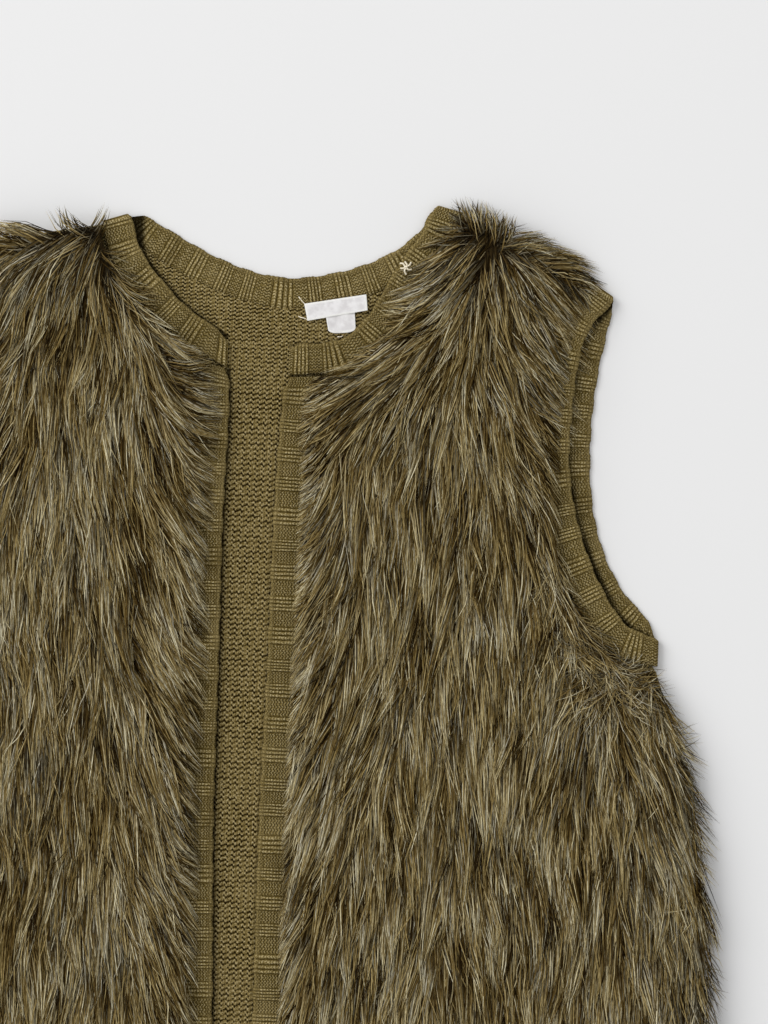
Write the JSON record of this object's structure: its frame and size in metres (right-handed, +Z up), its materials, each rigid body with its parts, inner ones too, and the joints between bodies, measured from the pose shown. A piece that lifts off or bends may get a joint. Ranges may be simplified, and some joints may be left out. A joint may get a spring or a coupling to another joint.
{
  "type": "fur vest",
  "caption": "Sleeveless knit vest laid flat on its back: long-pile fur fronts over a plain knit back, with ribbed bands round the neck, front edges and armholes.",
  "frame": {"origin": "on the surface the vest lies on, under the middle of its box", "axes": "+Z up out of the surface, +Y towards the neck, +X to the right as seen from above"},
  "size_m": [0.5916, 0.6404, 0.0203],
  "materials": {
    "knit": "soft wool knit, khaki brown, matte, purl side up where the inside of the back shows",
    "rib": "ribbed wool knit, khaki brown, matte",
    "fur": "long faux fur pile, dark roots and beige tips, soft sheen",
    "label": "white woven satin ribbon, blank"
  },
  "bodies": {
    "root": {"back_panel": "knit", "neck_band": "rib", "front_band_left": "rib", "front_band_right": "rib", "armhole_band_left": "rib", "armhole_band_right": "rib", "fur_front_left": "fur", "fur_front_right": "fur", "neck_label": "label", "size_tab": "label"}
  },
  "joints": []
}
